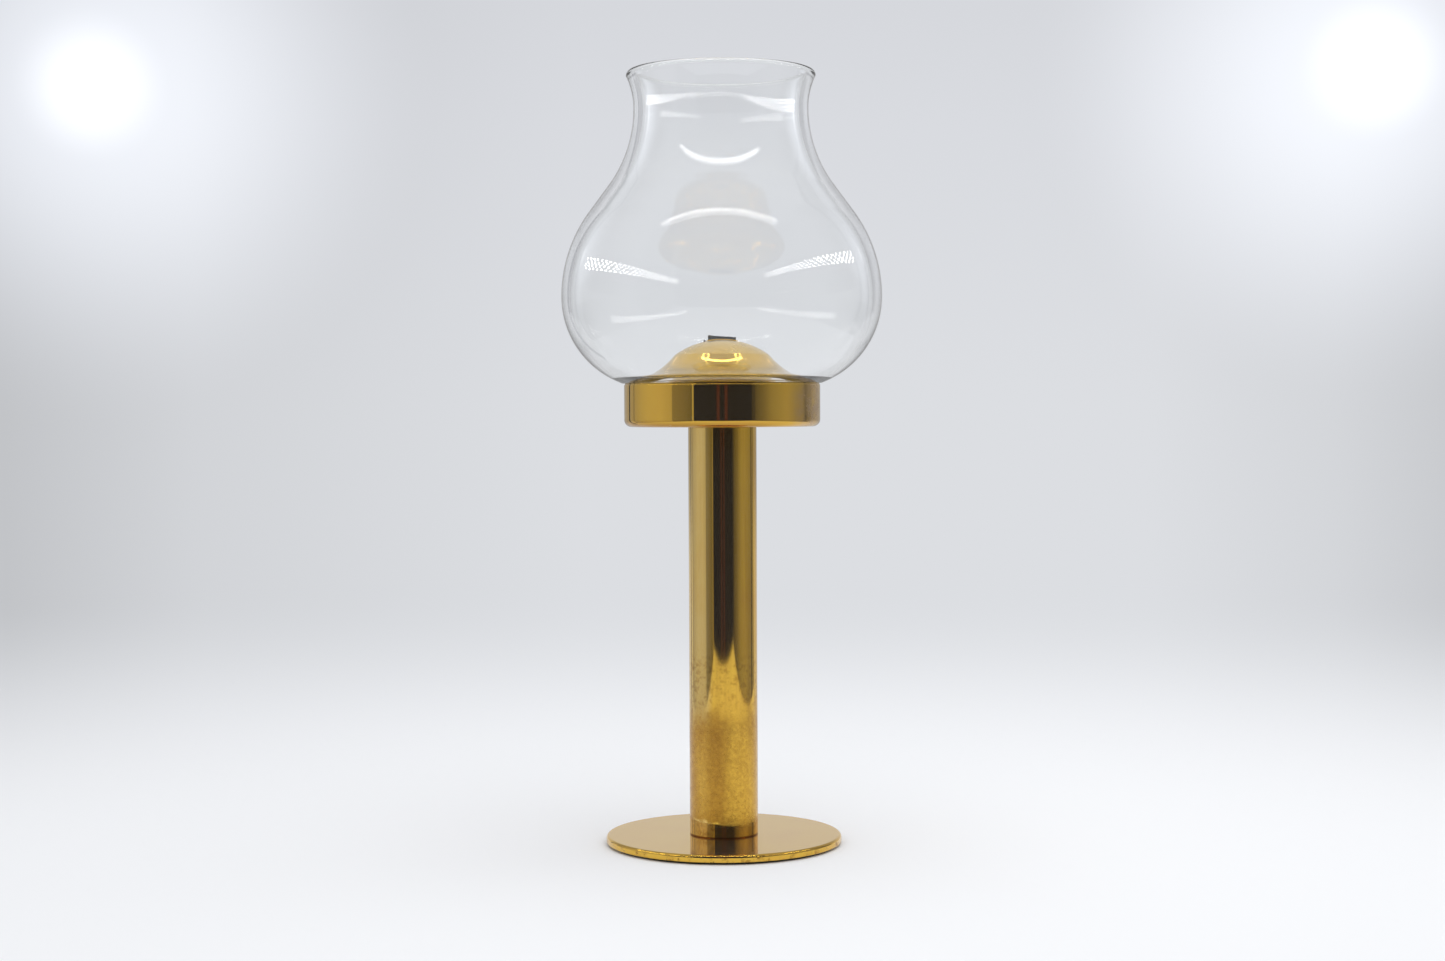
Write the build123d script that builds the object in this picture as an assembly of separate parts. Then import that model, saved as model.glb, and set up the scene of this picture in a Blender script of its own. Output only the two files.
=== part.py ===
from build123d import *

import math
import os

# Oil lamp: a flat wick burner in a brass font. The font drops into a cup on a tall stem, and a blown
# glass shade stands on the font. Millimetres, +Z up. The origin is the middle of the felt's underside,
# and +Z is the lamp's axis.

# Foot
FELT_RADIUS = 48.5
FELT_THICKNESS = 1.0
BASE_RADIUS = 50.0
BASE_THICKNESS = 3.0
BASE_TOP_ROUNDING = 1.2
BASE_BOTTOM_ROUNDING = 0.3

# Stem: a tube with a tapped plug in each end
STEM_RADIUS = 14.5
STEM_WALL = 1.0
STEM_LENGTH = 173.2
PLUG_LENGTH = 14.0
PLUG_ROUNDING = 0.5

# M5 screws with hexagon sockets, and the washer in the cup
SCREW_RADIUS = 2.5
SCREW_HOLE_RADIUS = 2.7
SCREW_TIP_CHAMFER = 0.4
COUNTERSUNK_HEAD_RADIUS = 5.0
COUNTERSUNK_LAND = 0.2
BASE_SCREW_LENGTH = 15.0
PAN_HEAD_RADIUS = 4.75
PAN_HEAD_HEIGHT = 3.0
PAN_HEAD_ROUNDING = 1.2
CUP_SCREW_LENGTH = 14.0
SOCKET_ACROSS_FLATS = 3.0
SOCKET_DEPTH = 1.8
WASHER_RADIUS = 7.5
WASHER_THICKNESS = 1.0

# Cup: spun sheet, open at the top
CUP_RADIUS = 41.5
CUP_HEIGHT = 17.8
CUP_SHEET = 1.0
CUP_CORNER_ROUNDING = 3.0

# Font: a pressed can under a pressed lid. The lid's flange lies on the cup's rim.
FONT_SHEET = 0.6
BOWL_RADIUS = 39.9
BOWL_DEPTH = 10.8
BOWL_CORNER_ROUNDING = 3.0
FLANGE_RADIUS = 41.2
FLANGE_FOOT_ROUNDING = 0.3
SHOULDER_RADIUS = 33.4
SHOULDER_HEIGHT = 4.8
SHOULDER_ROUNDING = 1.0
KNEE_RADIUS = 25.7
KNEE_HEIGHT = 7.6
KNEE_ROUNDING = 28.0
CREASE_RADIUS = 19.9
CREASE_HEIGHT = 13.4
CREASE_ROUNDING = 0.7
LID_HOLE_RADIUS = 18.8

# Burner: a domed cap on a sleeve that plugs into the neck ring, and the flat tube for the wick
NECK_BORE_RADIUS = 17.6
NECK_COLLAR_RADIUS = 19.3
NECK_RING_HEIGHT = 7.0
CAP_RIM_RADIUS = 19.8
CAP_DOME_RADIUS = 36.0
SLEEVE_CLEARANCE = 0.05
SLEEVE_WALL = 0.8
SLEEVE_BELOW_RIM = 5.5
WICK_TUBE_WALL = 0.5
WICK_TUBE_LIP = 0.3
WICK_TUBE_BELOW_RIM = 17.0

# Wick: 12 mm flat wick, its tip burnt slanting
WICK_WIDTH = 12.0
WICK_THICKNESS = 2.0
WICK_CLEARANCE = 0.2
WICK_ABOVE_BOWL_FLOOR = 2.2
WICK_TIP_HIGH = 7.8
WICK_TIP_LOW = 7.0

# Shade: arcs that run into each other. The outer face is at the equator in the belly, and at the
# narrowest place in the neck. The wall curls in at the foot, where it is thinner and ground flat.
GLASS_WALL = 1.8
EQUATOR_RADIUS = 67.7
EQUATOR_HEIGHT = 36.4
LOWER_ARC = 38.7
LOWER_ARC_INSIDE = 37.8
FOOT_ARC_INSIDE = 10.0
FOOT_THICKNESS = 0.8
UPPER_ARC = 52.0
NECK_RADIUS = 37.1
NECK_HEIGHT = 111.9
NECK_ARC = 36.0
FLARE_ARC = 52.0
SHADE_HEIGHT = 131.4
SHADE_BORE_RADIUS = 34.6
RIM_ROUNDING = 0.85
FOOT_ROUNDING = 0.3

# Heights that follow
BASE_Z = FELT_THICKNESS
STEM_Z = BASE_Z + BASE_THICKNESS
CUP_Z = STEM_Z + STEM_LENGTH
CUP_FLOOR_Z = CUP_Z + CUP_SHEET
CUP_RIM_Z = CUP_Z + CUP_HEIGHT
FLANGE_Z = CUP_RIM_Z + FONT_SHEET
BOWL_Z = CUP_RIM_Z - BOWL_DEPTH
CREASE_Z = FLANGE_Z + CREASE_HEIGHT
DOME_CENTRE_Z = CREASE_Z - math.sqrt(CAP_DOME_RADIUS**2 - CAP_RIM_RADIUS**2)


def turned(corners, roundings):
    """A solid of revolution, from its closed outline's (radius, height) corners and their roundings."""
    outline = FilletPolyline(corners, radius=roundings, close=True)
    return revolve(Plane.XZ * make_face(outline.edges()), Axis.Z)


def pressed(corners, roundings, sheet):
    """Sheet metal of revolution. The corners are the outer face's, and the sheet lies to their left."""
    face_line = FilletPolyline(corners, radius=roundings)
    section = make_face(face_line.offset_2d(sheet, side=Side.LEFT).edges())
    return revolve(Plane.XZ * section, Axis.Z)


def disc(radius, height, bottom):
    """A plain disc that stands on the given height."""
    return Pos(0, 0, bottom) * Cylinder(radius, height, align=(Align.CENTER, Align.CENTER, Align.MIN))


def hexagon_socket(bottom):
    """The space of a screw head's socket."""
    hexagon = RegularPolygon(SOCKET_ACROSS_FLATS / 2, 6, major_radius=False)
    return Pos(0, 0, bottom) * extrude(hexagon, SOCKET_DEPTH)


def tapped_plug(bottom):
    """A turned plug that fills an end of the stem, tapped right through."""
    inside = STEM_RADIUS - STEM_WALL
    top = bottom + PLUG_LENGTH
    corners = [(SCREW_RADIUS, bottom), (inside, bottom), (inside, top), (SCREW_RADIUS, top)]
    return turned(corners, [0, PLUG_ROUNDING, PLUG_ROUNDING, 0])


def base_felt():
    return disc(FELT_RADIUS, FELT_THICKNESS, 0)


def base_plate():
    """The foot, countersunk from below for the base screw."""
    cone_top = BASE_Z + COUNTERSUNK_LAND + COUNTERSUNK_HEAD_RADIUS - SCREW_HOLE_RADIUS
    corners = [
        (COUNTERSUNK_HEAD_RADIUS, BASE_Z),
        (BASE_RADIUS, BASE_Z),
        (BASE_RADIUS, STEM_Z),
        (SCREW_HOLE_RADIUS, STEM_Z),
        (SCREW_HOLE_RADIUS, cone_top),
        (COUNTERSUNK_HEAD_RADIUS, BASE_Z + COUNTERSUNK_LAND),
    ]
    return turned(corners, [0, BASE_BOTTOM_ROUNDING, BASE_TOP_ROUNDING, 0, 0, 0])


def base_screw():
    """Countersunk screw, driven from below before the felt is stuck on."""
    tip = BASE_Z + BASE_SCREW_LENGTH
    cone_top = BASE_Z + COUNTERSUNK_LAND + COUNTERSUNK_HEAD_RADIUS - SCREW_RADIUS
    corners = [
        (0, BASE_Z),
        (COUNTERSUNK_HEAD_RADIUS, BASE_Z),
        (COUNTERSUNK_HEAD_RADIUS, BASE_Z + COUNTERSUNK_LAND),
        (SCREW_RADIUS, cone_top),
        (SCREW_RADIUS, tip - SCREW_TIP_CHAMFER),
        (SCREW_RADIUS - SCREW_TIP_CHAMFER, tip),
        (0, tip),
    ]
    return turned(corners, 0) - hexagon_socket(BASE_Z)


def stem_tube():
    inside = STEM_RADIUS - STEM_WALL
    return disc(STEM_RADIUS, STEM_LENGTH, STEM_Z) - disc(inside, STEM_LENGTH, STEM_Z)


def cup_shell():
    """The cup, with a hole in its floor for the cup screw."""
    corners = [(SCREW_HOLE_RADIUS, CUP_Z), (CUP_RADIUS, CUP_Z), (CUP_RADIUS, CUP_RIM_Z)]
    return pressed(corners, [CUP_CORNER_ROUNDING], CUP_SHEET)


def cup_washer():
    hole = disc(SCREW_HOLE_RADIUS, WASHER_THICKNESS, CUP_FLOOR_Z)
    return disc(WASHER_RADIUS, WASHER_THICKNESS, CUP_FLOOR_Z) - hole


def cup_screw():
    """Pan head screw through the cup's floor into the head plug."""
    seat = CUP_FLOOR_Z + WASHER_THICKNESS
    head_top = seat + PAN_HEAD_HEIGHT
    tip = seat - CUP_SCREW_LENGTH
    corners = [
        (0, tip),
        (SCREW_RADIUS - SCREW_TIP_CHAMFER, tip),
        (SCREW_RADIUS, tip + SCREW_TIP_CHAMFER),
        (SCREW_RADIUS, seat),
        (PAN_HEAD_RADIUS, seat),
        (PAN_HEAD_RADIUS, head_top),
        (0, head_top),
    ]
    head = turned(corners, [0, 0, 0, 0, 0, PAN_HEAD_ROUNDING, 0])
    return head - hexagon_socket(head_top - SOCKET_DEPTH)


def font_bowl():
    """The oil can, which hangs in the cup with its rim soldered under the lid's flange."""
    corners = [(0, BOWL_Z), (BOWL_RADIUS, BOWL_Z), (BOWL_RADIUS, CUP_RIM_Z)]
    return pressed(corners, [BOWL_CORNER_ROUNDING], FONT_SHEET)


def font_top():
    """The lid: a flange, the shoulder that centres the shade, a flare, and the lip round its hole."""
    corners = [
        (FLANGE_RADIUS, FLANGE_Z),
        (SHOULDER_RADIUS, FLANGE_Z),
        (SHOULDER_RADIUS, FLANGE_Z + SHOULDER_HEIGHT),
        (KNEE_RADIUS, FLANGE_Z + KNEE_HEIGHT),
        (CREASE_RADIUS, CREASE_Z),
        (LID_HOLE_RADIUS, CREASE_Z),
    ]
    roundings = [FLANGE_FOOT_ROUNDING, SHOULDER_ROUNDING, KNEE_ROUNDING, CREASE_ROUNDING]
    return pressed(corners, roundings, FONT_SHEET)


def font_neck_ring():
    """The burner's seat, soldered into the lid's hole from below."""
    bottom = CREASE_Z - NECK_RING_HEIGHT
    lip = CREASE_Z - FONT_SHEET
    corners = [
        (NECK_BORE_RADIUS, bottom),
        (NECK_COLLAR_RADIUS, bottom),
        (NECK_COLLAR_RADIUS, lip),
        (LID_HOLE_RADIUS, lip),
        (LID_HOLE_RADIUS, CREASE_Z),
        (NECK_BORE_RADIUS, CREASE_Z),
    ]
    return turned(corners, 0)


def dome(radius):
    """A ball about the centre of the cap's dome."""
    return Pos(0, 0, DOME_CENTRE_Z) * Sphere(radius)


def flat_prism(clearance, bottom, top):
    """A prism with the wick's flat section and round edges, larger all round by a clearance."""
    section = SlotOverall(WICK_WIDTH + 2 * clearance, WICK_THICKNESS + 2 * clearance)
    return Pos(0, 0, bottom) * extrude(section, top - bottom)


def burner_cap():
    """The dome over the burner, with its rim on the lid's lip and a slot for the wick tube."""
    shell = dome(CAP_DOME_RADIUS) - dome(CAP_DOME_RADIUS - FONT_SHEET)
    cap = split(shell, Plane.XY.offset(CREASE_Z), keep=Keep.TOP)
    slot = flat_prism(WICK_CLEARANCE + WICK_TUBE_WALL, CREASE_Z, CREASE_Z + CAP_DOME_RADIUS)
    return cap - slot


def burner_sleeve():
    """The tube that plugs into the neck ring. Its upper end meets the inside of the cap."""
    outside = NECK_BORE_RADIUS - SLEEVE_CLEARANCE
    bottom = CREASE_Z - SLEEVE_BELOW_RIM
    height = 2 * SLEEVE_BELOW_RIM
    tube = disc(outside, height, bottom) - disc(outside - SLEEVE_WALL, height, bottom)
    return tube & dome(CAP_DOME_RADIUS - FONT_SHEET)


def wick_tube():
    """The flat tube through the cap. Its upper end stands out of the dome as a narrow lip."""
    bottom = CREASE_Z - WICK_TUBE_BELOW_RIM
    top = CREASE_Z + CAP_DOME_RADIUS
    tube = flat_prism(WICK_CLEARANCE + WICK_TUBE_WALL, bottom, top) - flat_prism(WICK_CLEARANCE, bottom, top)
    return tube & dome(CAP_DOME_RADIUS + WICK_TUBE_LIP)


def wick():
    """The wick, from just above the bowl's floor to its slanting tip."""
    bottom = BOWL_Z + FONT_SHEET + WICK_ABOVE_BOWL_FLOOR
    tip = Plane(
        origin=(0, 0, CREASE_Z + (WICK_TIP_HIGH + WICK_TIP_LOW) / 2),
        x_dir=(WICK_WIDTH, 0, WICK_TIP_LOW - WICK_TIP_HIGH),
        z_dir=(WICK_TIP_HIGH - WICK_TIP_LOW, 0, WICK_WIDTH),
    )
    return split(flat_prism(0, bottom, CREASE_Z + 2 * WICK_TIP_HIGH), tip, keep=Keep.BOTTOM)


def shade_face(inset, lower_arc, foot_angle):
    """One face of the glass from foot to rim, inset from the outer face. Angles are in degrees."""
    equator = FLANGE_Z + EQUATOR_HEIGHT
    neck = FLANGE_Z + NECK_HEIGHT
    rise = SHADE_HEIGHT - NECK_HEIGHT
    upper_centre = (EQUATOR_RADIUS - UPPER_ARC, equator)
    neck_centre = (NECK_RADIUS + NECK_ARC, neck)
    across = neck_centre[0] - upper_centre[0]
    up = neck_centre[1] - upper_centre[1]
    crossing = math.asin((UPPER_ARC + NECK_ARC) / math.hypot(across, up))
    lean = math.degrees(crossing - math.atan2(across, up))
    flare = math.degrees(math.asin(rise / (FLARE_ARC + inset)))

    lower_centre = (EQUATOR_RADIUS - inset - lower_arc, equator)
    belly = CenterArc(lower_centre, lower_arc, -foot_angle, foot_angle)
    shoulder = CenterArc(upper_centre, UPPER_ARC - inset, 0, lean)
    throat = CenterArc(neck_centre, NECK_ARC + inset, 180 + lean, -lean)
    mouth = CenterArc((NECK_RADIUS + FLARE_ARC, neck), FLARE_ARC + inset, 180, -flare)
    return [belly, shoulder, Line(shoulder @ 1, throat @ 0), throat, mouth]


def shade_glass():
    """The blown shade, open at both ends, with a ground foot and fire-polished edges."""
    foot_angle = math.degrees(math.asin(EQUATOR_HEIGHT / LOWER_ARC))
    outer = shade_face(0, LOWER_ARC, foot_angle)

    # Inside, the belly's arc runs into a tighter one, and that into the flat top of the foot.
    foot_top = FLANGE_Z + FOOT_THICKNESS
    reach = LOWER_ARC_INSIDE - FOOT_ARC_INSIDE
    drop = EQUATOR_HEIGHT - FOOT_THICKNESS - FOOT_ARC_INSIDE
    curl_angle = math.asin(drop / reach)
    inner = shade_face(GLASS_WALL, LOWER_ARC_INSIDE, math.degrees(curl_angle))
    curl_radius = EQUATOR_RADIUS - GLASS_WALL - LOWER_ARC_INSIDE + reach * math.cos(curl_angle)
    curl_centre = (curl_radius, foot_top + FOOT_ARC_INSIDE)
    curl = CenterArc(curl_centre, FOOT_ARC_INSIDE, -90, 90 - math.degrees(curl_angle))

    bore_foot = (SHADE_BORE_RADIUS, FLANGE_Z)
    bore_top = (SHADE_BORE_RADIUS, foot_top)
    foot = [Line(outer[0] @ 0, bore_foot), Line(bore_foot, bore_top), Line(bore_top, curl @ 0), curl]
    rim = [Line(outer[-1] @ 1, inner[-1] @ 1)]
    section = make_face(outer + inner + foot + rim)
    section = fillet(section.vertices().sort_by(Axis.Y)[-2:], RIM_ROUNDING)
    bore_corners = section.vertices().sort_by(Axis.X)[:2]
    foot_corners = section.vertices().sort_by(Axis.Y)[:2]
    section = fillet(set(bore_corners + foot_corners), FOOT_ROUNDING)
    return revolve(Plane.XZ * section, Axis.Z)


NODES = {
    "base_felt": base_felt(),
    "base_plate": base_plate(),
    "base_screw": base_screw(),
    "stem_foot_plug": tapped_plug(STEM_Z),
    "stem_tube": stem_tube(),
    "stem_head_plug": tapped_plug(CUP_Z - PLUG_LENGTH),
    "cup_shell": cup_shell(),
    "cup_washer": cup_washer(),
    "cup_screw": cup_screw(),
    "font_bowl": font_bowl(),
    "font_top": font_top(),
    "font_neck_ring": font_neck_ring(),
    "burner_cap": burner_cap(),
    "burner_sleeve": burner_sleeve(),
    "wick_tube": wick_tube(),
    "wick": wick(),
    "shade_glass": shade_glass(),
}

os.makedirs("parts", exist_ok=True)
for name, solid in NODES.items():
    export_step(solid, f"parts/{name}.step")
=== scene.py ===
import math

import bmesh
import bpy
from mathutils import Matrix, Vector, noise


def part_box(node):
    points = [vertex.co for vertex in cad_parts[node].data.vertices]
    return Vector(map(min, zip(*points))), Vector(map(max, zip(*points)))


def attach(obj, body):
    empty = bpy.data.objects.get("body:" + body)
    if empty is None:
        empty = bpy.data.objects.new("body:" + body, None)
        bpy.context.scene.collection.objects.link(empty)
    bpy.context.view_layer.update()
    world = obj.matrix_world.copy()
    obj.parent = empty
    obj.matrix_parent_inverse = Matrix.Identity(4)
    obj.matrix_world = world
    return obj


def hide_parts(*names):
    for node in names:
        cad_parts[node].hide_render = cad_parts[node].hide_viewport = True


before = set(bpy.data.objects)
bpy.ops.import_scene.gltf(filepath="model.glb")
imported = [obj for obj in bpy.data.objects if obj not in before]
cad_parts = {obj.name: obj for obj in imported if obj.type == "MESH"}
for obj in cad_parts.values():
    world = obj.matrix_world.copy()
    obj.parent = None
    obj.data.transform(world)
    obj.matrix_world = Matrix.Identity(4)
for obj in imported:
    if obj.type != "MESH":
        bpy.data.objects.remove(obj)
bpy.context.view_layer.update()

# Metres throughout, in the frame's own axes: +Z up along the lamp's axis, -Y towards the camera.
MM = 0.001
SEGMENTS = 256
# The glass foot stays this far clear of the lid's flange
FOOT_GAP = 0.02 * MM

# Camera
CAMERA_DISTANCE = 0.9754
CAMERA_HEIGHT = 0.1852
CAMERA_PITCH = math.radians(-1.813)
CAMERA_ROLL = math.radians(0.25)
CAMERA_LENS = 57.3
SENSOR_WIDTH = 36.0

# Light tent, seen only in reflections. Its front is open towards the camera.
TENT_LEFT = -0.407
TENT_RIGHT = 0.473
TENT_FRONT = -0.708
TENT_BACK_LEFT = 0.25
TENT_BACK_RIGHT = 0.31
TENT_TOP = 0.85

# Floor and backdrop
FLOOR_RADIUS = 9.0
FLOOR_MELTS_AT = 1.45
VIGNETTE_REACH = 0.8
LAMP_AIMS = ((-0.273, 1, 0.141), (0.284, 1, 0.147))
LAMP_HALO = 0.145
LAMP_CORE = 0.034


# ---------------------------------------------------------------- meshes


def arc(centre, radius, start, end, steps):
    """Points along an arc in the (radius, height) plane. Angles are in degrees."""
    points = []
    for i in range(steps + 1):
        angle = math.radians(start + (end - start) * i / steps)
        points.append((centre[0] + radius * math.cos(angle), centre[1] + radius * math.sin(angle)))
    return points


def rounded(corners, roundings, steps=8):
    """An open outline with its inner corners rounded. Each rounding belongs to one inner corner."""
    points = [corners[0]]
    for before, corner, after, radius in zip(corners, corners[1:], corners[2:], roundings):
        if radius == 0:
            points.append(corner)
            continue
        c = Vector(corner)
        u = (Vector(before) - c).normalized()
        v = (Vector(after) - c).normalized()
        half = u.angle(v) / 2
        reach = radius / math.tan(half)
        middle = c + (u + v).normalized() * radius / math.sin(half)
        first = c + u * reach - middle
        last = c + v * reach - middle
        turn = first.angle(last)
        for i in range(steps + 1):
            share = i / steps
            spoke = first * math.sin((1 - share) * turn) + last * math.sin(share * turn)
            points.append(tuple(middle + spoke / math.sin(turn)))
    points.append(corners[-1])
    return points


def held(outline, reach=0.4 * MM):
    """Adds points near both ends of each long run, so that roundings don't bend its shading."""
    points = []
    for start, end in zip(outline, outline[1:]):
        points.append(start)
        a, b = Vector(start), Vector(end)
        length = (b - a).length
        if length > 4 * reach:
            points.append(tuple(a.lerp(b, reach / length)))
            points.append(tuple(b.lerp(a, reach / length)))
    points.append(outline[-1])
    return points


def lathe(name, outline, segments=SEGMENTS, sharp=35.0, closed=True):
    """A mesh of revolution about the lamp's axis from (radius, height) points."""
    bm = bmesh.new()
    rings = []
    if closed:
        outline = held(outline + outline[:1])[:-1]
    else:
        outline = held(outline)
    for radius, height in outline:
        if radius < 1e-6:
            rings.append([bm.verts.new((0, 0, height))])
            continue
        ring = []
        for i in range(segments):
            angle = 2 * math.pi * i / segments
            ring.append(bm.verts.new((radius * math.cos(angle), radius * math.sin(angle), height)))
        rings.append(ring)
    following = rings[1:] + (rings[:1] if closed else [])
    for a, b in zip(rings, following):
        if len(a) == 1 and len(b) == 1:
            continue
        for i in range(segments):
            j = (i + 1) % segments
            corners = [a[i % len(a)], a[j % len(a)], b[j % len(b)], b[i % len(b)]]
            unique = list(dict.fromkeys(corners))
            bm.faces.new(unique)
    bmesh.ops.recalc_face_normals(bm, faces=bm.faces)
    return finished(name, bm, sharp)


def mesh_of(name, bm):
    """Turns a bmesh into a mesh."""
    mesh = bpy.data.meshes.new(name)
    bm.to_mesh(mesh)
    bm.free()
    return mesh


def finished(name, bm, sharp=35.0):
    """Turns a bmesh into an object with smooth faces and sharp corners."""
    mesh = mesh_of(name, bm)
    mesh.shade_smooth()
    mesh.set_sharp_from_angle(angle=math.radians(sharp))
    piece = bpy.data.objects.new(name, mesh)
    bpy.context.scene.collection.objects.link(piece)
    return piece


def place(piece, body, slot, material, *replaced):
    """Gives a piece its material, and lets it ride on a body in place of CAD nodes. The slot is not used.
    """
    piece.data.materials.clear()
    piece.data.materials.append(material)
    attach(piece, body)
    if replaced:
        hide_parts(*replaced)
    return piece


# ---------------------------------------------------------------- materials


def srgb(red, green, blue):
    """A linear colour from 0-255 screen values."""
    values = []
    for value in (red, green, blue):
        share = value / 255
        values.append(share / 12.92 if share <= 0.04045 else ((share + 0.055) / 1.055) ** 2.4)
    return (*values, 1.0)


def grey(value):
    return (value, value, value, 1)


class Shader:
    """A node material, with short calls for the nodes that the finishes share."""

    def __init__(self, name, tree=None):
        if tree is None:
            self.material = bpy.data.materials.new(name)
            self.material.use_nodes = True
            tree = self.material.node_tree
            self.bsdf = tree.nodes["Principled BSDF"]
        self.tree = tree

    def put(self, socket, value):
        """Links a node's output to a socket, or sets the socket's own value."""
        if isinstance(value, bpy.types.NodeSocket):
            self.tree.links.new(value, socket)
        else:
            socket.default_value = value

    def node(self, kind, inputs=None, **settings):
        """A new node with its inputs filled and its settings set."""
        made = self.tree.nodes.new(kind)
        for key, value in settings.items():
            setattr(made, key, value)
        for key, value in (inputs or {}).items():
            self.put(made.inputs[key], value)
        return made

    def point(self, stretch=(1, 1, 1)):
        """The surface point in the piece's own metres, scaled along the axes."""
        source = self.node("ShaderNodeTexCoord").outputs["Object"]
        return self.node("ShaderNodeMapping", {"Vector": source, "Scale": stretch}).outputs["Vector"]

    def noise(self, scale, detail=4.0, rough=0.5, stretch=(1, 1, 1), distortion=0.0):
        """Cloudy noise. A stretch under 1 draws it out along that axis."""
        inputs = {
            "Vector": self.point(stretch),
            "Scale": scale,
            "Detail": detail,
            "Roughness": rough,
            "Distortion": distortion,
        }
        return self.node("ShaderNodeTexNoise", inputs).outputs["Fac"]

    def ramp(self, factor, *stops):
        """A colour ramp from (position, colour) stops. A plain number is a grey."""
        made = self.node("ShaderNodeValToRGB", {"Fac": factor})
        elements = made.color_ramp.elements
        while len(elements) < len(stops):
            elements.new(0.5)
        for element, (position, colour) in zip(elements, stops):
            element.position = position
            element.color = colour if isinstance(colour, tuple) else grey(colour)
        return made.outputs["Color"]

    def mix(self, factor, a, b, blend="MIX"):
        """Colour a where the factor is 0, b where it is 1."""
        made = self.node("ShaderNodeMix", data_type="RGBA", blend_type=blend)
        self.put(made.inputs["Factor"], factor)
        self.put(made.inputs["A"], a)
        self.put(made.inputs["B"], b)
        return made.outputs["Result"]

    def math(self, operation, a, b=0.0):
        made = self.node("ShaderNodeMath", operation=operation)
        self.put(made.inputs[0], a)
        self.put(made.inputs[1], b)
        return made.outputs[0]

    def axis(self, name):
        """One coordinate of the surface point, in the piece's own metres."""
        source = self.node("ShaderNodeTexCoord").outputs["Object"]
        return self.node("ShaderNodeSeparateXYZ", {"Vector": source}).outputs[name]

    def between(self, value, low, high):
        """0 below low, 1 above high, and smooth between them."""
        inputs = {"Value": value, "From Min": low, "From Max": high}
        made = self.node("ShaderNodeMapRange", inputs, interpolation_type="SMOOTHSTEP")
        return made.outputs["Result"]

    def between_linear(self, value, low, high):
        """0 below low, 1 above high, and straight between them."""
        inputs = {"Value": value, "From Min": low, "From Max": high}
        return self.node("ShaderNodeMapRange", inputs).outputs["Result"]

    def near(self, place, inner, outer):
        """1 within inner of a place, 0 beyond outer."""
        source = self.node("ShaderNodeTexCoord").outputs["Object"]
        away = self.node("ShaderNodeVectorMath", {0: source, 1: place}, operation="DISTANCE")
        return self.between(away.outputs["Value"], outer, inner)

    def bump(self, height, distance, strength=1.0, normal=None):
        """A normal from a height pattern, on top of another normal if one is given."""
        inputs = {"Height": height, "Distance": distance, "Strength": strength}
        if normal is not None:
            inputs["Normal"] = normal
        return self.node("ShaderNodeBump", inputs).outputs["Normal"]


CLEAN_BRASS = (0.76, 0.465, 0.055, 1)
PALE_BRASS = (0.80, 0.60, 0.24, 1)
DARKER_BRASS = (0.42, 0.27, 0.06, 1)
COPPERY_BRASS = (0.66, 0.34, 0.055, 1)
BROWN_PATINA_AND_SHADE = (0.30, 0.13, 0.02, 1)
SATIN_DARK_AND_SHADE = (0.40, 0.19, 0.02, 1)
SATIN_LIGHT = (0.70, 0.41, 0.05, 1)
PINK_TARNISH = (0.55, 0.40, 0.28, 1)
PIT = (0.03, 0.022, 0.012, 1)

COAT_WEIGHT = 0.5
COAT_ROUGHNESS = 0.5


def brass_base(shader, roughness, tarnish):
    """Lightly clouded, lacquered brass. Returns its colour, roughness and fine wear as a normal."""
    cloud = shader.ramp(shader.noise(55, 5, 0.6), (0.4, 0.0), (0.75, 1.0))
    colour = shader.mix(shader.math("MULTIPLY", cloud, tarnish), CLEAN_BRASS, COPPERY_BRASS)
    smudge = shader.ramp(shader.noise(28, 6, 0.65), (0.35, roughness), (0.8, roughness * 2.0))
    scratch = shader.noise(900, 3, 0.6, (0.06, 0.06, 1.0))
    ripple = shader.noise(22, 2, 0.4)
    normal = shader.bump(ripple, 0.06 * MM, 0.35)
    normal = shader.bump(scratch, 0.004 * MM, 0.25, normal)
    shader.bsdf.inputs["Coat Weight"].default_value = COAT_WEIGHT
    shader.bsdf.inputs["Coat Roughness"].default_value = COAT_ROUGHNESS
    return colour, smudge, normal


def finish_metal(shader, colour, roughness, normal):
    """Fills in a bare metal and returns its material."""
    shader.bsdf.inputs["Metallic"].default_value = 1.0
    shader.put(shader.bsdf.inputs["Base Color"], colour)
    shader.put(shader.bsdf.inputs["Roughness"], roughness)
    shader.put(shader.bsdf.inputs["Normal"], normal)
    return shader.material


def base_brass():
    """Polished foot, with pits and dark wear round its edge."""
    shader = Shader("base_brass")
    colour, roughness, normal = brass_base(shader, 0.06, 0.3)
    _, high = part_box("base_plate")
    edge = shader.between(shader.axis("Z"), high.z - 0.5 * MM, high.z - 1.3 * MM)
    worn = shader.ramp(shader.noise(260, 6, 0.7), (0.5, 0.0), (0.62, 1.0))
    worn = shader.math("MULTIPLY", worn, edge)
    pits = shader.ramp(shader.noise(420, 3, 0.5), (0.68, 0.0), (0.72, 1.0))
    pits = shader.math("MULTIPLY", pits, edge)
    colour = shader.mix(shader.math("MULTIPLY", worn, 0.6), colour, BROWN_PATINA_AND_SHADE)
    colour = shader.mix(pits, colour, PIT)
    roughness = shader.mix(worn, roughness, grey(0.4))
    normal = shader.bump(pits, -0.2 * MM, 1.0, normal)
    return finish_metal(shader, colour, roughness, normal)


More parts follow.
